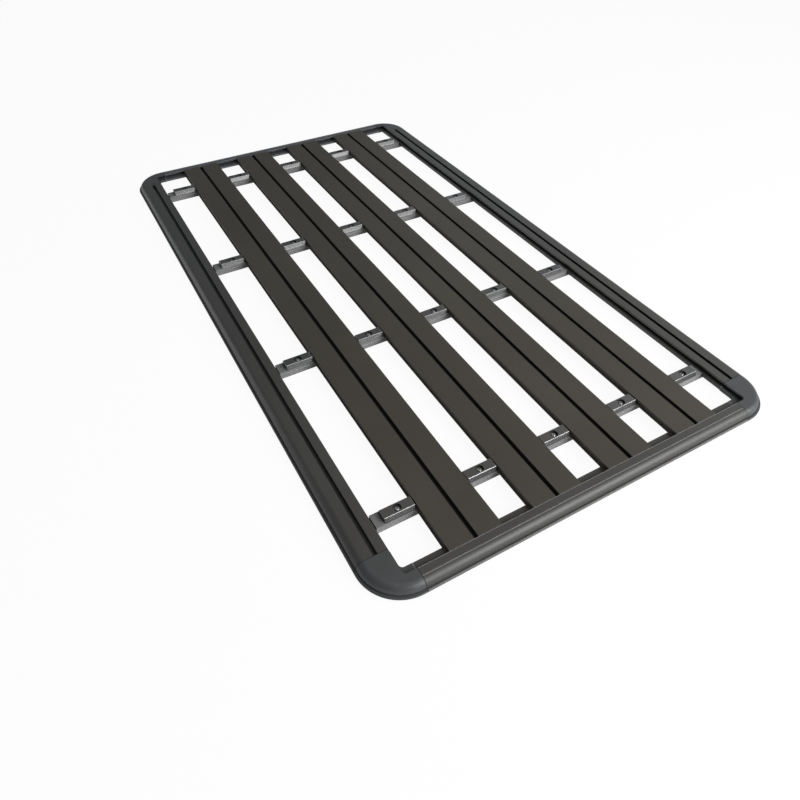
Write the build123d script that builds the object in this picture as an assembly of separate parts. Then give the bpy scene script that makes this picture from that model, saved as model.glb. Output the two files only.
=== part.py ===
from build123d import *
import math
import os

# Flat platform roof rack, in millimetres.
# X runs across the rack, Y along it and Z up. The origin is on the ground, at the middle of the rack.
# The crossbars stand on the ground plane, the planks lie on the crossbars, and a frame of four rails
# and four corners goes round them, with its top face level with the planks.

# Overall sizes, over the skirt at the foot of the frame
rack_length = 2196
rack_width = 1250

# Rails
rail_height = 28
rail_wall = 2.2
side_rail_flat = 59.5
end_rail_flat = 21
nose_radius = 21
skirt_reach = 7
skirt_chamfer = 1.2
groove_depth = 2
groove_height = 1.5
lip_thickness = 5.5
lip_round = 1.5
recess_depth = 18
side_ledge_reach = 5
side_ledge_round = 3
end_ledge_reach = 23
end_ledge_thickness = 7
end_ledge_round = 1.5
end_line_width = 1.4
end_line_depth = 0.7

# T-slots, in the side rails and in the planks
slot_mouth = 10.5
slot_neck = 2.6
slot_chamber_width = 20
side_slot_chamber = 9
side_slot_inset = 30.5

# Corners
corner_leg = 121
corner_round = 112
corner_inner_round = 10
corner_wall = 3
corner_rib = 2.5
corner_rib_count = 3
nose_core_facets = 2
spigot_length = 35
spigot_wall = 2.2
spigot_clearance = 0.3

# Planks
plank_count = 4
plank_width = 145
side_gap_extra = 27.5
plank_thickness = 14.5
plank_skin = 1.8
plank_edge_round = 1.2
foot_reach = 4.5
foot_thickness = 2.5
plank_end_gap = 0.3

# Crossbars
crossbar_count = 4
crossbar_setback = 207
crossbar_width = 40.5
crossbar_height = 23
crossbar_wall = 2.2
crossbar_edge_round = 1
crossbar_end_gap = 2
crossbar_tongue = 58
crossbar_mouth = 10.5
crossbar_neck = 2.5
crossbar_chamber_width = 22
face_groove_height = 1.2
face_groove_depth = 0.8
face_groove_count = 2

# Clamp blocks, which hold the planks down on the crossbars
clamp_base_width = 39
clamp_top_width = 27
clamp_top_drop = 1
clamp_bevel = 1
clamp_end_gap = 2.5
clamp_boss_gap = 0.5
bolt_hole = 9
bolt_head_hole = 22
bolt_head_depth = 8.5
clamp_groove_height = 1
clamp_groove_depth = 0.6
clamp_groove_count = 2

# How far a cut runs out past the face that it opens, and how near two equal places may lie
cut_margin = 1
same_place = 0.01

# Levels and places that follow from the sizes above
deck_top = crossbar_height + plank_thickness
rail_bottom = deck_top - rail_height
tongue_top = rail_bottom
side_lip = rack_width / 2 - skirt_reach - nose_radius - side_rail_flat
end_lip = rack_length / 2 - skirt_reach - nose_radius - end_rail_flat
side_seam = rack_length / 2 - corner_leg
end_seam = rack_width / 2 - corner_leg
plank_gap = (2 * side_lip - plank_count * plank_width - 2 * side_gap_extra) / (plank_count + 1)
plank_pitch = plank_width + plank_gap
plank_middles = [(i - (plank_count - 1) / 2) * plank_pitch for i in range(plank_count)]
crossbar_pitch = (rack_length - 2 * crossbar_setback) / (crossbar_count - 1)
crossbar_middles = [(i - (crossbar_count - 1) / 2) * crossbar_pitch for i in range(crossbar_count)]
side_slot_floor = -slot_neck - side_slot_chamber
clamp_length = plank_gap - 2 * clamp_end_gap


def rectangle(left, right, bottom, top):
    """Flat rectangle between two places across and two levels."""
    return Pos((left + right) / 2, (bottom + top) / 2) * Rectangle(right - left, top - bottom)


def corners_at(face, points):
    """The corners of a flat face that lie at the given points."""
    return [v for v in face.vertices() if any((v.center() - Vector(*p)).length < same_place for p in points)]


def rounded_at(face, points, radius):
    """The same face, with its corners at the given points rounded."""
    return fillet(corners_at(face, points), radius)


def along_y(section, length):
    """Extrusion along Y, from zero, of a section drawn across and up."""
    return extrude(Plane.XZ * section, amount=-length)


def along_x(section, length):
    """Extrusion along X, from zero, of a section drawn along and up."""
    return extrude(Plane.YZ * section, amount=length)


def nose_section(inset=0):
    """Round outer edge of a rail, from the end of its flat top, with the top face at level zero."""
    floor = -rail_height + inset
    reach = nose_radius - inset
    quarter = Pos(0, -nose_radius) * Circle(reach) & rectangle(0, reach, -nose_radius, 0)
    return quarter + rectangle(0, reach, floor, -nose_radius)


def skirted_nose_section():
    """The nose with the groove below it and the skirt that stands out at its foot."""
    skirt_top = -nose_radius - groove_height
    skirt_edge = nose_radius + skirt_reach
    groove = rectangle(nose_radius - groove_depth, nose_radius, skirt_top, -nose_radius)
    skirt = rectangle(0, skirt_edge, -rail_height, skirt_top)
    skirt = chamfer(corners_at(skirt, [(skirt_edge, skirt_top), (skirt_edge, -rail_height)]), skirt_chamfer)
    return nose_section() - groove + skirt


def rail_section(flat, ledge_reach, ledge_bottom, ledge_round):
    """Solid section of a rail. Zero is the edge of the lip and the level of the deck."""
    box = rectangle(recess_depth, flat, -rail_height, 0)
    lip = rounded_at(rectangle(0, recess_depth, -lip_thickness, 0), [(0, 0)], lip_round)
    ledge = rectangle(-ledge_reach, recess_depth, ledge_bottom, -plank_thickness)
    ledge_edge = [(-ledge_reach, ledge_bottom), (-ledge_reach, -plank_thickness)]
    return box + lip + rounded_at(ledge, ledge_edge, ledge_round) + Pos(flat, 0) * skirted_nose_section()


def t_slot(middle, neck, chamber_floor):
    """Mouth and chamber of a T-slot that opens upwards."""
    mouth = rectangle(-slot_mouth / 2, slot_mouth / 2, -neck, cut_margin)
    chamber = rectangle(-slot_chamber_width / 2, slot_chamber_width / 2, chamber_floor, -neck)
    return Pos(middle, 0) * (mouth + chamber)


def side_hollow(inset):
    """Hollow of a side rail: a cell in the nose, one under the T-slot and one in the ledge."""
    floor = -rail_height + inset
    beside_slot = side_slot_inset + slot_chamber_width / 2 + inset
    shelf = min(-plank_thickness, side_slot_floor) - inset
    nose_cell = rectangle(beside_slot, side_rail_flat, floor, -inset)
    ledge_cell = rectangle(-side_ledge_reach + inset, beside_slot, floor, shelf)
    return nose_cell + ledge_cell + Pos(side_rail_flat, 0) * nose_section(inset)


def end_hollow(inset):
    """Hollow of an end rail, between its web and its nose."""
    cell = rectangle(0, end_rail_flat, -rail_height + inset, -inset)
    hollow = cell + Pos(end_rail_flat, 0) * nose_section(inset)
    return hollow & rectangle(recess_depth + inset, end_rail_flat + nose_radius, -rail_height, 0)


def side_rail():
    """Right-hand side rail, from corner to corner, with its T-slot along the top."""
    section = rail_section(side_rail_flat, side_ledge_reach, -rail_height, side_ledge_round)
    section = section - side_hollow(rail_wall) - t_slot(side_slot_inset, slot_neck, side_slot_floor)
    return Pos(side_lip, -side_seam, deck_top) * along_y(section, 2 * side_seam)


def end_rail():
    """Rear rail, from corner to corner, with the ledge that the plank ends lie on."""
    ledge_bottom = -plank_thickness - end_ledge_thickness
    section = rail_section(end_rail_flat, end_ledge_reach, ledge_bottom, end_ledge_round)
    line = rectangle(end_rail_flat - end_line_width, end_rail_flat, -end_line_depth, cut_margin)
    section = section - end_hollow(rail_wall) - line
    return Pos(-end_seam, end_lip, deck_top) * along_x(section, 2 * end_seam)


def corner_plan(side_inner, end_inner, seam_inset=0):
    """Plan of a corner from its inner edges to the end of the flat top, rounded inside and outside."""
    side_outer = rack_width / 2 - skirt_reach - nose_radius
    end_outer = rack_length / 2 - skirt_reach - nose_radius
    flat_round = corner_round - skirt_reach - nose_radius
    block = rectangle(end_seam + seam_inset, side_outer, side_seam + seam_inset, end_outer)
    inside = rectangle(end_seam, side_inner, side_seam, end_inner)
    block = rounded_at(block, [(side_outer, end_outer)], flat_round)
    return block - rounded_at(inside, [(side_inner, end_inner)], corner_inner_round)


def layer(plan, bottom, top):
    """Extrusion of a plan between two levels below the deck."""
    return Pos(0, 0, deck_top + bottom) * extrude(plan, amount=top - bottom)


def corner_nose(section, seam_inset=0):
    """Outer edge of a corner: the section runs straight from each seam and turns between them."""
    flat_round = corner_round - skirt_reach - nose_radius
    middle_x = rack_width / 2 - corner_round
    middle_y = rack_length / 2 - corner_round
    run = corner_leg - corner_round - seam_inset
    turn = revolve(Pos(flat_round, 0, 0) * Plane.XZ * section, Axis.Z, 90)
    along_side = Pos(flat_round, -run, 0) * along_y(section, run)
    along_end = Pos(-run, flat_round, 0) * along_x(section, run)
    return Pos(middle_x, middle_y, deck_top) * (turn + along_side + along_end)


def nose_core():
    """Section of the core under a corner's nose: flat facets that leave at least the wall thickness."""
    reach = nose_radius - corner_wall
    turns = [math.radians(90 * i / nose_core_facets) for i in range(nose_core_facets + 1)]
    arch = [(reach * math.sin(turn), reach * math.cos(turn) - nose_radius) for turn in turns]
    return make_face(Polyline(*arch, (reach, -rail_height), (0, -rail_height), close=True))


def corner_pocket():
    """Core of the underside of a corner, which leaves one wall thickness all round."""
    web_side = side_lip + recess_depth + corner_wall
    web_end = end_lip + recess_depth + corner_wall
    ledge_side = side_lip - side_ledge_reach + corner_wall
    main = layer(corner_plan(web_side, web_end, corner_wall), -rail_height, -corner_wall)
    ledge = layer(corner_plan(ledge_side, web_end, corner_wall), -rail_height, -plank_thickness - corner_wall)
    return main + ledge + corner_nose(nose_core(), corner_wall)


def corner_ribs(pocket):
    """Ribs that stand in the pocket of a corner and spread from the middle of its turn."""
    height = rail_height - 2 * corner_wall
    rib = Pos(corner_leg / 2, 0, -rail_height + corner_wall + height / 2) * Box(corner_leg, corner_rib, height)
    turns = [90 * (i + 1) / (corner_rib_count + 1) for i in range(corner_rib_count)]
    ribs = Part() + [Rot(0, 0, angle) * rib for angle in turns]
    return Pos(rack_width / 2 - corner_round, rack_length / 2 - corner_round, deck_top) * ribs & pocket


def spigot(hollow):
    """Section of the stub that plugs into the hollow end of a rail."""
    outside = rail_wall + spigot_clearance
    return hollow(outside) - hollow(outside + spigot_wall)


def corner():
    """Rear right corner: flat top, recess, ledges, nose, cored and ribbed underside, two spigots."""
    web = layer(corner_plan(side_lip + recess_depth, end_lip + recess_depth), -rail_height, 0)
    lip = layer(corner_plan(side_lip, end_lip), -lip_thickness, 0)
    ledge_side = side_lip - side_ledge_reach
    foot = layer(corner_plan(ledge_side, end_lip + recess_depth), -rail_height, -plank_thickness)
    ledge = layer(corner_plan(ledge_side, end_lip - end_ledge_reach),
                  -plank_thickness - end_ledge_thickness, -plank_thickness)
    pocket = corner_pocket()
    shell = web + lip + foot + ledge + corner_nose(skirted_nose_section()) - pocket
    side_stub = Pos(side_lip, side_seam - spigot_length, deck_top) * along_y(spigot(side_hollow), spigot_length)
    end_stub = Pos(end_seam - spigot_length, end_lip, deck_top) * along_x(spigot(end_hollow), spigot_length)
    return shell + corner_ribs(pocket) + side_stub + end_stub


def plank():
    """One plank, on the middle of the rack: a flat hollow board with a T-slot and two feet."""
    half = plank_width / 2
    board = rectangle(-half, half, -plank_thickness, 0)
    board = rounded_at(board, [(-half, 0), (half, 0)], plank_edge_round)
    feet = rectangle(-half - foot_reach, half + foot_reach, -plank_thickness, -plank_thickness + foot_thickness)
    slot = t_slot(0, slot_neck, -plank_thickness + plank_skin)
    inner = slot_chamber_width / 2 + plank_skin
    outer = half - plank_skin
    rib = (inner + outer) / 2
    cells = [rectangle(inner, rib - plank_skin / 2, -plank_thickness + plank_skin, -plank_skin),
             rectangle(rib + plank_skin / 2, outer, -plank_thickness + plank_skin, -plank_skin)]
    cells += [mirror(cell, Plane.YZ) for cell in cells]
    length = 2 * (end_lip - plank_end_gap)
    return Pos(0, -length / 2, deck_top) * along_y(board + feet - slot - cells, length)


def crossbar_section():
    """Crossbar: a box with grooved faces, over a T-channel that opens downwards."""
    half = crossbar_width / 2
    seat = tongue_top - crossbar_height
    outline = rectangle(-half, half, -crossbar_height, 0)
    outline = fillet(outline.vertices(), crossbar_edge_round)
    inside = half - crossbar_wall
    box = rectangle(-inside, inside, seat, -crossbar_wall)
    half_chamber = crossbar_chamber_width / 2
    chamber_floor = -crossbar_height + crossbar_neck
    chamber = rectangle(-half_chamber, half_chamber, chamber_floor, seat - crossbar_wall)
    mouth = rectangle(-crossbar_mouth / 2, crossbar_mouth / 2, -crossbar_height, chamber_floor)
    section = outline - box - chamber - mouth
    for i in range(face_groove_count):
        level = -crossbar_height * (i + 1) / (face_groove_count + 1)
        for side in (-half, half):
            section -= Pos(side, level) * Rectangle(2 * face_groove_depth, face_groove_height)
    return section


def crossbar():
    """One crossbar, on the middle of the rack, with a tongue at each end that carries a side rail."""
    full_half = side_lip - side_ledge_reach - crossbar_end_gap
    tongue_half = side_lip - side_ledge_reach + crossbar_tongue
    bar = Pos(-tongue_half, 0, crossbar_height) * along_x(crossbar_section(), 2 * tongue_half)
    for end in (-1, 1):
        middle = end * (full_half + tongue_half) / 2
        cut = Box(tongue_half - full_half, 2 * crossbar_width, crossbar_height)
        bar -= Pos(middle, 0, tongue_top + crossbar_height / 2) * cut
    return bar


def clamp_middles():
    """Places of the clamp blocks across the rack: one in each gap beside and between the planks."""
    inner = [(a + b) / 2 for a, b in zip(plank_middles, plank_middles[1:])]
    outer = plank_middles[-1] + plank_width / 2 + clamp_end_gap + clamp_length / 2
    return [-outer] + inner + [outer]


def clamp_grooves(height):
    """Sections of the fine grooves that run along both leaning faces of a clamp block."""
    base = clamp_base_width / 2
    top = clamp_top_width / 2
    lean = math.degrees(math.atan2(base - top, height))
    grooves = []
    for i in range(clamp_groove_count):
        level = foot_thickness + (height - foot_thickness) * (i + 1) / (clamp_groove_count + 1)
        reach = base + (top - base) * level / height
        for side in (-1, 1):
            groove = Rot(0, 0, side * lean) * Rectangle(2 * clamp_groove_depth, clamp_groove_height)
            grooves.append(Pos(side * reach, level) * groove)
    return grooves


def clamp():
    """One clamp block, on the middle of the rack: it narrows upwards, and its wings lie on the feet."""
    height = plank_thickness - clamp_top_drop
    base = clamp_base_width / 2
    top = clamp_top_width / 2
    section = make_face(Polyline((-base, 0), (base, 0), (top, height), (-top, height), close=True))
    start = Pos(-clamp_length / 2, 0, 0)
    block = start * along_x(section, clamp_length)
    by_level = block.edges().group_by(Axis.Z)
    block = chamfer(by_level[-1] + by_level[1], clamp_bevel)
    for groove in clamp_grooves(height):
        block -= start * along_x(groove, clamp_length)
    boss = plank_gap - 2 * foot_reach - 2 * clamp_boss_gap
    wing = (clamp_length - boss) / 2
    for end in (-1, 1):
        under = Pos(end * (boss + wing) / 2, 0, foot_thickness / 2) * Box(wing, clamp_base_width, foot_thickness)
        block -= under
    block -= Pos(0, 0, height / 2) * Cylinder(bolt_hole / 2, height + 2 * cut_margin)
    block -= Pos(0, 0, height - bolt_head_depth / 2) * Cylinder(bolt_head_hole / 2, bolt_head_depth)
    return Pos(0, 0, crossbar_height) * block


def make_nodes():
    """Every piece of the rack by name, in its place."""
    nodes = {}
    right = side_rail()
    nodes["side_rail_right"] = right
    nodes["side_rail_left"] = mirror(right, Plane.YZ)
    rear = end_rail()
    nodes["rear_rail"] = rear
    nodes["front_rail"] = mirror(rear, Plane.XZ)
    rear_right = corner()
    rear_left = mirror(rear_right, Plane.YZ)
    nodes["corner_rear_right"] = rear_right
    nodes["corner_rear_left"] = rear_left
    nodes["corner_front_right"] = mirror(rear_right, Plane.XZ)
    nodes["corner_front_left"] = mirror(rear_left, Plane.XZ)
    board = plank()
    for number, place in enumerate(plank_middles, 1):
        nodes[f"plank_{number}"] = Pos(place, 0, 0) * board
    bar = crossbar()
    block = clamp()
    for row, along in enumerate(crossbar_middles, 1):
        nodes[f"crossbar_{row}"] = Pos(0, along, 0) * bar
        for number, across in enumerate(clamp_middles(), 1):
            nodes[f"clamp_{row}_{number}"] = Pos(across, along, 0) * block
    return nodes


os.makedirs("parts", exist_ok=True)
for name, solid in make_nodes().items():
    export_step(solid, f"parts/{name}.step")
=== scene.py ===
import bpy
import bmesh
import math
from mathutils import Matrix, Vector


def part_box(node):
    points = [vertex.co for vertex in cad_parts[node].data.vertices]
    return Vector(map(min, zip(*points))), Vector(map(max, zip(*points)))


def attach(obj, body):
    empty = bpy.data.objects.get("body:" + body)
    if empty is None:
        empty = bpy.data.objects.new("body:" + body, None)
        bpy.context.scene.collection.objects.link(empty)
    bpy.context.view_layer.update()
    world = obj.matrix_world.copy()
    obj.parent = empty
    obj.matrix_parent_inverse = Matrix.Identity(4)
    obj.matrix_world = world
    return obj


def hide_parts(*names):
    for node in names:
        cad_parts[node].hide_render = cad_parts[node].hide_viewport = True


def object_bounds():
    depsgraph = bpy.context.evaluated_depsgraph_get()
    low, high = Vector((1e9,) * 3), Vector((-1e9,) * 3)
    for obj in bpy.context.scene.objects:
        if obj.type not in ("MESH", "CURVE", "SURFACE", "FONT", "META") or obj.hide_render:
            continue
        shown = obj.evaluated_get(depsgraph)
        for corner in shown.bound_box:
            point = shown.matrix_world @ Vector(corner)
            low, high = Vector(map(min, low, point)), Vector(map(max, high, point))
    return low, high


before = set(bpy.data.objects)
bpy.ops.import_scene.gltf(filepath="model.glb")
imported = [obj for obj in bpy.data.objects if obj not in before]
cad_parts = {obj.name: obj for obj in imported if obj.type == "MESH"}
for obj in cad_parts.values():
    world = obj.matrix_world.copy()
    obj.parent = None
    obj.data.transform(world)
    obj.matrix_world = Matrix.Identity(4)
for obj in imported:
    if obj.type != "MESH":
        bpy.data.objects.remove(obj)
solid_low, solid_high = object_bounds()

# The looks of a flat platform roof rack, in metres. X runs across the rack, Y along it and Z up.
MM = 0.001

# Camera: where it stands, how it is turned in degrees, its lens and sensor, and how far it sees
CAMERA_PLACE = (-0.8674, -1.6154, 1.2498)
CAMERA_TURN = (44.148, -0.055, -29.409)
CAMERA_LENS = 27.88
SENSOR_WIDTH = 36
CAMERA_REACH = 200

# Lamps, which all point at the middle of the rack: place, size, power and colour
LAMPS = {
    "front_right": ((1.6, -3.8, 2.2), 2.8, 245, (1, 1, 1)),
    "far_right": ((4.4, -3.4, 2.2), 1.6, 42, (1, 1, 1)),
    "overhead": ((1.1, 0.5, 3.4), 3.2, 12, (1, 0.8, 0.55)),
    "right": ((3.4, 0.6, 2.4), 2.5, 14, (1, 1, 1)),
    "back_right": ((3.1, 3.6, 2.0), 2.0, 9, (0.88, 0.95, 1)),
    "back_left": ((-4.0, 4.2, 0.9), 2.4, 40, (1, 1, 1)),
    "spark": ((-0.3, -1.0, 3.0), 0.25, 6, (1, 1, 1)),
}

# World: its colour, its strength in itself, and what the camera and the glossy coats see on top of it
WORLD_COLOUR = (0.86, 0.94, 1, 1)
WORLD_STRENGTH = 0.18
WORLD_SEEN = 0.82
WORLD_MIRRORED = 0.12

# Floor: its size, how far it lies under the rack, its colour, and how white it glows to the camera and in
# the coats
FLOOR_REACH = 30
FLOOR_DROP = 0.2 * MM
FLOOR_COLOUR = (0.86, 0.86, 0.86, 1)
FLOOR_SEEN = 0.94
FLOOR_MIRRORED = 0.6
WHITE = (1, 1, 1, 1)

# Edges of the extrusions, mouldings and blocks: how far each is rounded, in how many steps, and past what
# angle between its faces an edge is sharp
COAT_EDGE = 0.45 * MM
MOULDED_EDGE = 0.6 * MM
BLOCK_EDGE = 0.4 * MM
EDGE_STEPS = 2
SHARP_ANGLE = math.radians(28)

# Chamfers along the tops of the blocks: the widest that counts as one, and how far its face looks up
BLOCK_CHAMFER = 2.2 * MM
CHAMFER_TILT = (0.5, 0.9)

# How near two points are one, on a solid and on a bolt, and at what angle two triangles lie in one plane
SOLID_MERGE = 0.002 * MM
BOLT_MERGE = 0.01 * MM
FLAT_ANGLE = math.radians(0.2)

# Seams between the rails and the corners: where their shade starts to fade and where it ends, how much
# rougher they are, and how light they show on the ledges, which lie inside the lips of the side rails and
# of the end rails. The lips are placed by their distance from the outside of the rack.
SEAM_FADE = (0.63 * MM, 1.17 * MM)
SEAM_ROUGHNESS = 0.4
LEDGE_SEAM = 0.45
SIDE_LIP = 87.5 * MM
END_LIP = 49 * MM

# Slots along the rack: how far the ones in the side rails lie from the outside of the rack, where the shade
# in a slot starts to fade and where it ends, from the slot's middle, and how far down it reaches
SIDE_SLOT = 57 * MM
SLOT_FADE = (5.2 * MM, 7.6 * MM)
SLOT_DEPTH = 13.3 * MM

# Painted highlights along the front rail: light lines where its edges catch the light, at the lip, at the
# start of the nose and on the skirt, by their distance from the front of the rack
LINE_PLACES = (47.9 * MM, 27.4 * MM, 2.6 * MM)
LINE_FADE = (0.55 * MM, 1.1 * MM)
LINE_STRENGTH = 0.3

# Colours of the coats, the plastic and the steel, of bare metal, and of the shade in seams and slots
RAIL_BLACK = (0.036, 0.035, 0.033)
# Painted light: the rear rail has the rails' black made lighter and bluer, for the light that falls on it
REAR_RAIL_PAINTED_LIT_BLACK = (0.048, 0.051, 0.057)
PLANK_BLACK = (0.044, 0.039, 0.031)
CROSSBAR_GREY = (0.138, 0.138, 0.140)
CLAMP_BLACK = (0.027, 0.027, 0.028)
CORNER_BLACK = (0.040, 0.042, 0.044)
BOLT_GREY = (0.28, 0.28, 0.285)
# Bare metal: the rubbed edges, and the painted highlights on the clamps' chamfers and along the front rail
BARE_METAL_AND_HIGHLIGHT = (0.62, 0.62, 0.63, 1)
DEEP_SHADE = (0.006, 0.006, 0.006, 1)

# Powder coat: features to the metre of clouds, speckle, smudges, patchy edge wear and highlight, orange
# peel
COAT_CLOUDS = 2.6
COAT_SPECKLE = 900
COAT_SMUDGES = 9
COAT_PATCHINESS = 35
COAT_PEEL = 420
COAT_FINE_PEEL = 1400

# What these do to the coat: how light they are beside its colour, how much of that shows, how much they
# roughen it, the share of the edge wear and painted highlight that is even, and how high the peel stands
CLOUD_TINTS = (0.9, 1.1)
SPECKLE_TINT = 1.9
SPECKLE_SHARE = 0.35
SPECKLE_ROUGHNESS = 0.08
SMUDGE_TINT = 1.7
SMUDGE_SHARE = 0.12
SMUDGE_ROUGHNESS = 0.06
EVEN_WEAR_AND_HIGHLIGHT = 0.7
BARE_ROUGHNESS = 0.1
BARE_METALLIC = 0.4
FINE_PEEL_SHARE = 0.5
COARSE_PEEL_HEIGHT = 0.05 * MM
FINE_PEEL_HEIGHT = 0.01 * MM
PEEL_STRENGTH = 0.25

# Grained plastic: features to the metre of its stipple, clouds and rubbed patches, how light these and the
# rounded edges are beside its colour, how much of that shows, how much they roughen it, and the stipple's
# height
PLASTIC_STIPPLE = 1100
PLASTIC_CLOUDS = 14
PLASTIC_RUBBING = 60
PLASTIC_TINTS = (0.92, 1.1)
PLASTIC_CLOUD_ROUGHNESS = 0.08
PATCH_TINT = 1.8
PATCH_SHARE = 0.15
PATCH_ROUGHNESS = 0.05
PALE_EDGE_TINT = 2.4
PALE_EDGE_SHARE = 0.4
STIPPLE_HEIGHT = 0.08 * MM
STIPPLE_STRENGTH = 0.4

# Blackened steel: rubbed spots to the metre, how light they are beside its colour, how much of that shows,
# and how much rougher the steel is between them
STEEL_SPOTS = 700
SPOT_TINT = 4
SPOT_SHARE = 0.4
OXIDE_ROUGHNESS = 0.12

# Bolts of the clamp blocks: domed heads with a hexagon socket, on a washer, and how deep the washer's seat
# lies under the top of the block
HEAD_RADIUS = 7 * MM
HEAD_HEIGHT = 4.4 * MM
HEAD_RIM = 0.6 * MM
DOME_STEPS = 8
TURN_STEPS = 36
SIXTH_TURN = math.tau / 6
SOCKET_RADIUS = 2.9 * MM
SOCKET_DEPTH = 2.8 * MM
WASHER_RADIUS = 8 * MM
WASHER_THICKNESS = 1.6 * MM
SHANK_RADIUS = 4 * MM
SHANK_LENGTH = 18 * MM
SEAT_DEPTH = 8.5 * MM


class Signal:
    """A socket of a material's nodes. Arithmetic on signals adds the Math nodes for it."""

    def __init__(self, tree, socket):
        self.tree = tree
        self.socket = socket

    def node(self, kind, settings=None, inputs=None, output=0):
        """Any other node: its settings come first, then the values or signals of its sockets."""
        made = self.tree.nodes.new(kind)
        for name, value in (settings or {}).items():
            setattr(made, name, value)
        for name, value in (inputs or {}).items():
            if isinstance(value, Signal):
                self.tree.links.new(value.socket, made.inputs[name])
            else:
                made.inputs[name].default_value = value
        return Signal(self.tree, made.outputs[output])

    def maths(self, operation, first, second=0.0):
        """A Math node on one or two values or signals."""
        return self.node("ShaderNodeMath", {"operation": operation}, {0: first, 1: second})

    def __add__(self, other):
        return self.maths("ADD", self, other)

    def __radd__(self, other):
        return self.maths("ADD", other, self)

    def __sub__(self, other):
        return self.maths("SUBTRACT", self, other)

    def __rsub__(self, other):
        return self.maths("SUBTRACT", other, self)

    def __mul__(self, other):
        return self.maths("MULTIPLY", self, other)

    def __rmul__(self, other):
        return self.maths("MULTIPLY", other, self)

    def __abs__(self):
        return self.maths("ABSOLUTE", self)

    def __lt__(self, other):
        return self.maths("LESS_THAN", self, other)

    def __gt__(self, other):
        return self.maths("GREATER_THAN", self, other)

    def smooth_step(self, low, high):
        """Zero below low, one above high, and a soft rise between them."""
        limits = {"Value": self, "From Min": low, "From Max": high}
        return self.node("ShaderNodeMapRange", {"interpolation_type": "SMOOTHSTEP"}, limits)

    def mix(self, first, second):
        """The first colour where this signal is zero, the second where it is one."""
        return self.node("ShaderNodeMix", {"data_type": "RGBA"}, {0: self, 6: first, 7: second}, output=2)

    def noise(self, scale, detail=3.0, roughness=0.5):
        """Cloudy pattern from 0 to 1 over this place, with scale features to the metre."""
        shape = {"Vector": self, "Scale": scale, "Detail": detail, "Roughness": roughness}
        return self.node("ShaderNodeTexNoise", {}, shape)

    def axis(self, name):
        """This place's part along X, Y or Z."""
        return self.node("ShaderNodeSeparateXYZ", {}, {0: self}, output=name)


def new_material(name):
    """A material with its shader and a signal of the place on the object."""
    material = bpy.data.materials.new(name)
    material.use_nodes = True
    tree = material.node_tree
    shader = tree.nodes["Principled BSDF"]
    coordinates = tree.nodes.new("ShaderNodeTexCoord")
    return material, shader, Signal(tree, coordinates.outputs["Object"])


def feed(shader, name, signal):
    """Leads a signal to a socket of the shader."""
    signal.tree.links.new(signal.socket, shader.inputs[name])


def tint(colour, factor):
    """Colour made lighter or darker."""
    return tuple(min(1.0, part * factor) for part in colour) + (1.0,)


def rounded_edge(place):
    """One on rubbed edges and on painted highlights, by the mark that their faces carry, and zero
    elsewhere.
    """
    return place.node("ShaderNodeAttribute", {"attribute_name": "edge"}, output="Fac")


def bands(part, middles, fade):
    """One near the middles of some bands, zero away from them, and a soft fade between."""
    return sum(1 - abs(part - middle).smooth_step(*fade) for middle in middles)


def painted_highlight_lines(place):
    """One along the painted highlights of the front rail, where its edges catch the light, and zero
    elsewhere.
    """
    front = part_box("front_rail")[0].y
    return bands(place.axis("Y"), [front + line for line in LINE_PLACES], LINE_FADE)


def slot_shade(place):
    """One in the slots along the rack and at the edges of their mouths, and zero elsewhere."""
    planks = [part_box(node) for node in ("plank_3", "plank_4")]
    slots = [(low.x + high.x) / 2 for low, high in planks] + [solid_high.x - SIDE_SLOT]
    return bands(abs(place.axis("X")), slots, SLOT_FADE) * (place.axis("Z") > solid_high.z - SLOT_DEPTH)


def seam_shade(place):
    """One in the seams between the rails and the corners, and zero elsewhere."""
    across = abs(abs(place.axis("X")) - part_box("rear_rail")[1].x)
    along = abs(abs(place.axis("Y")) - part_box("side_rail_right")[1].y)
    return 1 - place.maths("MINIMUM", across, along).smooth_step(*SEAM_FADE)


def seamed(place, tone, shade):
    """Tone with the shade of the seams, which are lighter on the ledges, towards bare metal."""
    in_sides = abs(place.axis("X")) < solid_high.x - SIDE_LIP
    in_ends = abs(place.axis("Y")) < solid_high.y - END_LIP
    return (shade * in_sides * in_ends * LEDGE_SEAM).mix(shade.mix(tone, DEEP_SHADE), BARE_METAL_AND_HIGHLIGHT)


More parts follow.
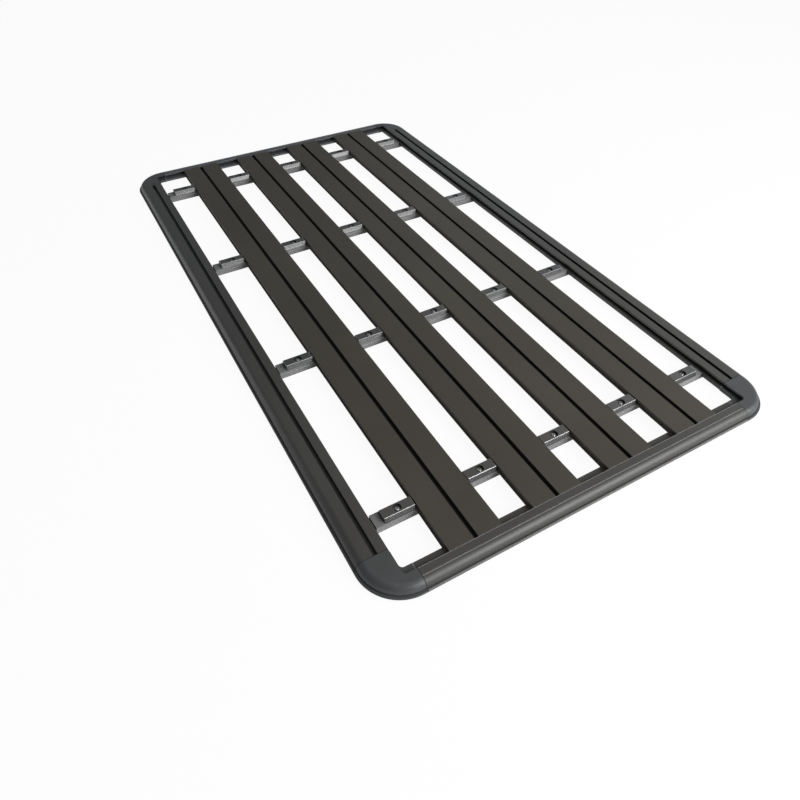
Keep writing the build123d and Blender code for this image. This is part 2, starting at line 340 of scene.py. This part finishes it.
def coated_metal(name, colour, rough, peel_height, wear_and_highlight, gloss=0.5, seams=False, highlight_lines=False,
                 slot_dark=0):
    """Powder coat: cloudy, speckled, smudged, orange-peeled, with bright metal as wear and painted
    highlights.
    """
    material, shader, place = new_material(name)
    clouds = place.noise(COAT_CLOUDS, detail=4)
    speckle = place.noise(COAT_SPECKLE, detail=2)
    smudges = place.noise(COAT_SMUDGES, detail=5, roughness=0.6).smooth_step(0.5, 0.75)
    patchiness = place.noise(COAT_PATCHINESS, detail=4).smooth_step(0.3, 0.6) * (1 - EVEN_WEAR_AND_HIGHLIGHT) + EVEN_WEAR_AND_HIGHLIGHT
    # Bare metal: wear on rounded edges, and a painted highlight on the blocks' top chamfers
    bare_and_highlight = rounded_edge(place) * patchiness * wear_and_highlight
    roughness = rough + smudges * SMUDGE_ROUGHNESS + (speckle - 0.5) * SPECKLE_ROUGHNESS
    roughness = roughness + bare_and_highlight * BARE_ROUGHNESS
    tone = clouds.smooth_step(0.25, 0.75).mix(*[tint(colour, factor) for factor in CLOUD_TINTS])
    tone = (speckle.smooth_step(0.55, 0.75) * SPECKLE_SHARE).mix(tone, tint(colour, SPECKLE_TINT))
    tone = (smudges * SMUDGE_SHARE).mix(tone, tint(colour, SMUDGE_TINT))
    tone = bare_and_highlight.mix(tone, BARE_METAL_AND_HIGHLIGHT)
    # Painted highlights: light lines along the front rail, mixed towards bare metal
    if highlight_lines:
        tone = (painted_highlight_lines(place) * LINE_STRENGTH).mix(tone, BARE_METAL_AND_HIGHLIGHT)
    if slot_dark:
        tone = (slot_shade(place) * slot_dark).mix(tone, DEEP_SHADE)
    if seams:
        shade = seam_shade(place)
        tone = seamed(place, tone, shade)
        roughness = roughness + shade * SEAM_ROUGHNESS
    feed(shader, "Base Color", tone)
    feed(shader, "Metallic", bare_and_highlight * BARE_METALLIC)
    feed(shader, "Roughness", roughness)
    shader.inputs["Specular IOR Level"].default_value = gloss
    peel = place.noise(COAT_FINE_PEEL, detail=2) * FINE_PEEL_SHARE + place.noise(COAT_PEEL, detail=2)
    relief = {"Height": peel, "Distance": peel_height, "Strength": PEEL_STRENGTH}
    feed(shader, "Normal", place.node("ShaderNodeBump", {}, relief))
    return material


def moulded_plastic(name, colour, rough):
    """Grained plastic: fine stipple, slight cloudiness, and rounded edges that are rubbed pale."""
    material, shader, place = new_material(name)
    grain = {"Vector": place, "Scale": PLASTIC_STIPPLE}
    stipple = place.node("ShaderNodeTexVoronoi", {}, grain, output="Distance")
    clouds = place.noise(PLASTIC_CLOUDS, detail=4)
    patches = place.noise(PLASTIC_RUBBING, detail=4).smooth_step(0.58, 0.72)
    shade = seam_shade(place)
    roughness = rough + (clouds - 0.5) * PLASTIC_CLOUD_ROUGHNESS + patches * PATCH_ROUGHNESS
    tone = clouds.smooth_step(0.3, 0.7).mix(*[tint(colour, factor) for factor in PLASTIC_TINTS])
    tone = (patches * PATCH_SHARE).mix(tone, tint(colour, PATCH_TINT))
    tone = (rounded_edge(place) * PALE_EDGE_SHARE).mix(tone, tint(colour, PALE_EDGE_TINT))
    feed(shader, "Base Color", seamed(place, tone, shade))
    feed(shader, "Roughness", roughness + shade * SEAM_ROUGHNESS)
    relief = {"Height": stipple, "Distance": STIPPLE_HEIGHT, "Strength": STIPPLE_STRENGTH}
    feed(shader, "Normal", place.node("ShaderNodeBump", {}, relief))
    return material


def blackened_steel(name, colour, rough):
    """Black oxide on steel, with bright rubbed spots."""
    material, shader, place = new_material(name)
    lightened = place.noise(STEEL_SPOTS, detail=3).smooth_step(0.55, 0.7)
    feed(shader, "Base Color", (lightened * SPOT_SHARE).mix(tint(colour, 1), tint(colour, SPOT_TINT)))
    feed(shader, "Roughness", rough + (1 - lightened) * OXIDE_ROUGHNESS)
    shader.inputs["Metallic"].default_value = 1.0
    return material


def floor_white(name):
    """Pale floor, nearly white to the camera and in the coats, that keeps the rack's shadow.

    From below it is clear, so that the underside of the rack can be seen.
    """
    material = bpy.data.materials.new(name)
    material.use_nodes = True
    tree = material.node_tree
    tree.nodes.clear()
    paths = tree.nodes.new("ShaderNodeLightPath")
    camera_rays = Signal(tree, paths.outputs["Is Camera Ray"])
    glossy_rays = Signal(tree, paths.outputs["Is Glossy Ray"])
    glowing = camera_rays * FLOOR_SEEN + glossy_rays * FLOOR_MIRRORED
    matt = glowing.node("ShaderNodeBsdfDiffuse", {}, {"Color": FLOOR_COLOUR})
    glow = glowing.node("ShaderNodeEmission", {}, {"Color": WHITE, "Strength": 1.0})
    above = glowing.node("ShaderNodeMixShader", {}, {0: glowing, 1: matt, 2: glow})
    below = Signal(tree, tree.nodes.new("ShaderNodeNewGeometry").outputs["Backfacing"])
    clear = below.node("ShaderNodeBsdfTransparent")
    shown = below.node("ShaderNodeMixShader", {}, {0: below, 1: above, 2: clear})
    result = tree.nodes.new("ShaderNodeOutputMaterial")
    tree.links.new(shown.socket, result.inputs["Surface"])
    return material


def finish_piece(name, bm, material):
    """Object from a bmesh, at the origin, with its finish, riding on the rack."""
    mesh = bpy.data.meshes.new(name)
    bm.to_mesh(mesh)
    bm.free()
    mesh.shade_smooth()
    mesh.set_sharp_from_angle(angle=SHARP_ANGLE)
    mesh.materials.append(material)
    piece = bpy.data.objects.new(name, mesh)
    bpy.context.scene.collection.objects.link(piece)
    even = piece.modifiers.new("even_normals", "WEIGHTED_NORMAL")
    even.keep_sharp = True
    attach(piece, "root")
    return piece


def is_chamfer(face, widest):
    """Whether a face is a long narrow slope along the top of a block."""
    narrow = 2 * face.calc_area() < widest * face.calc_perimeter()
    return narrow and CHAMFER_TILT[0] < face.normal.z < CHAMFER_TILT[1]


def round_sharp_edges(bm, width, chamfer):
    """Rounds every sharp edge, and marks the faces that are lightened towards bare metal.

    On a piece with chamfers: its top chamfers, a painted highlight; on others: the rounded faces, as wear.
    """
    lightened = bm.faces.layers.float.new("edge")
    for face in bm.faces:
        if is_chamfer(face, chamfer):
            face[lightened] = 1.0
    sharp = [e for e in bm.edges if e.is_manifold and e.calc_face_angle() > SHARP_ANGLE]
    made = bmesh.ops.bevel(bm, geom=sharp, offset=width, offset_type="OFFSET", segments=EDGE_STEPS,
                           profile=0.5, affect="EDGES", material=-1, clamp_overlap=True,
                           miter_outer="ARC")
    for face in made["faces"]:
        face[lightened] = 0.0 if chamfer else 1.0


def dressed(node, material, slot, width, chamfer=0):
    """Piece that stands for a solid of the frame: the same shape, merged, with rounded edges."""
    bm = bmesh.new()
    bm.from_mesh(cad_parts[node].data)
    bmesh.ops.remove_doubles(bm, verts=bm.verts, dist=SOLID_MERGE)
    bmesh.ops.dissolve_limit(bm, angle_limit=FLAT_ANGLE, verts=bm.verts, edges=bm.edges)
    round_sharp_edges(bm, width, chamfer)
    piece = finish_piece(node + "_coated", bm, material)
    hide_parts(node)


def bolt_outline():
    """Half outline of a bolt and its washer, from the bottom of the socket to the end of the shank."""
    top = WASHER_THICKNESS + HEAD_HEIGHT
    rim = WASHER_THICKNESS + HEAD_RIM
    outline = [(0, top - SOCKET_DEPTH), (SOCKET_RADIUS, top - SOCKET_DEPTH), (SOCKET_RADIUS, top)]
    for step in range(1, DOME_STEPS + 1):
        turn = math.pi / 2 * step / DOME_STEPS
        across = SOCKET_RADIUS + (HEAD_RADIUS - SOCKET_RADIUS) * math.sin(turn)
        outline.append((across, rim + (top - rim) * math.cos(turn)))
    washer = [(HEAD_RADIUS, WASHER_THICKNESS), (WASHER_RADIUS, WASHER_THICKNESS), (WASHER_RADIUS, 0)]
    shank = [(SHANK_RADIUS, 0), (SHANK_RADIUS, -SHANK_LENGTH), (0, -SHANK_LENGTH)]
    return outline + washer + shank


def bolt(name, seat, material):
    """Domed bolt with a hexagon socket, turned from its half outline, with its washer on the seat."""
    bm = bmesh.new()
    points = [bm.verts.new((across, 0, up)) for across, up in bolt_outline()]
    edges = [bm.edges.new(pair) for pair in zip(points, points[1:])]
    bmesh.ops.spin(bm, geom=points + edges, cent=(0, 0, 0), axis=(0, 0, 1), angle=math.tau,
                   steps=TURN_STEPS, use_merge=True)
    bmesh.ops.remove_doubles(bm, verts=bm.verts, dist=BOLT_MERGE)
    for vert in bm.verts:
        if abs(vert.co.xy.length - SOCKET_RADIUS) < BOLT_MERGE:
            turn = math.atan2(vert.co.y, vert.co.x) % SIXTH_TURN - SIXTH_TURN / 2
            vert.co.xy *= math.cos(SIXTH_TURN / 2) / math.cos(turn)
    bmesh.ops.recalc_face_normals(bm, faces=bm.faces)
    bmesh.ops.translate(bm, verts=bm.verts, vec=seat)
    finish_piece(name, bm, material)


def camera():
    """Camera at the place and angle that the rack is seen from."""
    data = bpy.data.cameras.new("camera")
    data.sensor_width = SENSOR_WIDTH
    data.lens = CAMERA_LENS
    data.clip_end = CAMERA_REACH
    eye = bpy.data.objects.new("camera", data)
    eye.location = CAMERA_PLACE
    eye.rotation_euler = [math.radians(angle) for angle in CAMERA_TURN]
    bpy.context.scene.collection.objects.link(eye)
    bpy.context.scene.camera = eye


def lay_floor():
    """Wide pale floor just under the rack."""
    bm = bmesh.new()
    bmesh.ops.create_grid(bm, x_segments=1, y_segments=1, size=FLOOR_REACH)
    bmesh.ops.translate(bm, verts=bm.verts, vec=(0, 0, -FLOOR_DROP))
    mesh = bpy.data.meshes.new("floor")
    bm.to_mesh(mesh)
    bm.free()
    mesh.materials.append(floor_white("floor_white"))
    floor = bpy.data.objects.new("floor", mesh)
    bpy.context.scene.collection.objects.link(floor)


def lamp(name, place, size, power, colour):
    """Square soft lamp that points at the middle of the rack."""
    data = bpy.data.lights.new(name, "AREA")
    data.size = size
    data.energy = power
    data.color = colour
    light = bpy.data.objects.new(name, data)
    light.location = place
    light.rotation_euler = (-Vector(place)).to_track_quat("-Z", "Y").to_euler()
    bpy.context.scene.collection.objects.link(light)


def studio():
    """Even, pale world, which is white to the camera."""
    world = bpy.data.worlds.new("studio")
    world.use_nodes = True
    tree = world.node_tree
    background = tree.nodes["Background"]
    paths = tree.nodes.new("ShaderNodeLightPath")
    camera_rays = Signal(tree, paths.outputs["Is Camera Ray"])
    glossy_rays = Signal(tree, paths.outputs["Is Glossy Ray"])
    strength = WORLD_STRENGTH + WORLD_SEEN * camera_rays + WORLD_MIRRORED * glossy_rays
    tree.links.new(strength.socket, background.inputs["Strength"])
    tree.links.new(camera_rays.mix(WORLD_COLOUR, WHITE).socket, background.inputs["Color"])
    bpy.context.scene.world = world


def finishes():
    """Material, slot and rounding of each kind of piece, by the start of its name."""
    rail_coat = coated_metal("rail_coat", RAIL_BLACK, rough=0.47, peel_height=COARSE_PEEL_HEIGHT,
                             wear_and_highlight=0.2, seams=True, slot_dark=0.7)
    front_coat = coated_metal("front_coat", RAIL_BLACK, rough=0.47, peel_height=COARSE_PEEL_HEIGHT,
                              wear_and_highlight=0.3, seams=True, highlight_lines=True)
    # Painted light: the rear rail's coat is lighter and bluer than the other rails', for the light on it
    rear_painted_lit_coat = coated_metal("rear_painted_lit_coat", REAR_RAIL_PAINTED_LIT_BLACK, rough=0.45, peel_height=COARSE_PEEL_HEIGHT,
                             wear_and_highlight=0.2, gloss=0.75, seams=True)
    plank_coat = coated_metal("plank_coat", PLANK_BLACK, rough=0.48, peel_height=COARSE_PEEL_HEIGHT,
                              wear_and_highlight=0.12, gloss=0.3, slot_dark=0.9)
    crossbar_coat = coated_metal("crossbar_coat", CROSSBAR_GREY, rough=0.42,
                                 peel_height=FINE_PEEL_HEIGHT, wear_and_highlight=0.3)
    # On the clamps the marked top chamfers are a painted highlight of bare metal
    clamp_coat = coated_metal("clamp_coat", CLAMP_BLACK, rough=0.34, peel_height=FINE_PEEL_HEIGHT,
                              wear_and_highlight=0.7, gloss=0.9)
    corner_plastic = moulded_plastic("corner_plastic", CORNER_BLACK, rough=0.45)
    return {
        "side_rail": (rail_coat, "rail_coat", COAT_EDGE),
        "front_rail": (front_coat, "rail_coat", COAT_EDGE),
        "rear_rail": (rear_painted_lit_coat, "rail_coat", COAT_EDGE),
        "corner": (corner_plastic, "corner_plastic", MOULDED_EDGE),
        "plank": (plank_coat, "plank_coat", COAT_EDGE),
        "crossbar": (crossbar_coat, "crossbar_coat", COAT_EDGE),
        "clamp": (clamp_coat, "clamp_coat", BLOCK_EDGE, BLOCK_CHAMFER),
    }


def dress_rack():
    """Every piece of the rack with its finish, and the bolts in the clamp blocks."""
    kinds = finishes()
    steel = blackened_steel("bolt_steel", BOLT_GREY, rough=0.25)
    for node in sorted(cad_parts):
        finish = next(value for start, value in kinds.items() if node.startswith(start))
        dressed(node, *finish)
        if node.startswith("clamp"):
            low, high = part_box(node)
            seat = ((low.x + high.x) / 2, (low.y + high.y) / 2, high.z - SEAT_DEPTH)
            bolt(node + "_bolt", seat, steel)


bpy.context.scene.view_settings.view_transform = "Standard"
camera()
lay_floor()
for name, settings in LAMPS.items():
    lamp(name, *settings)
studio()
dress_rack()
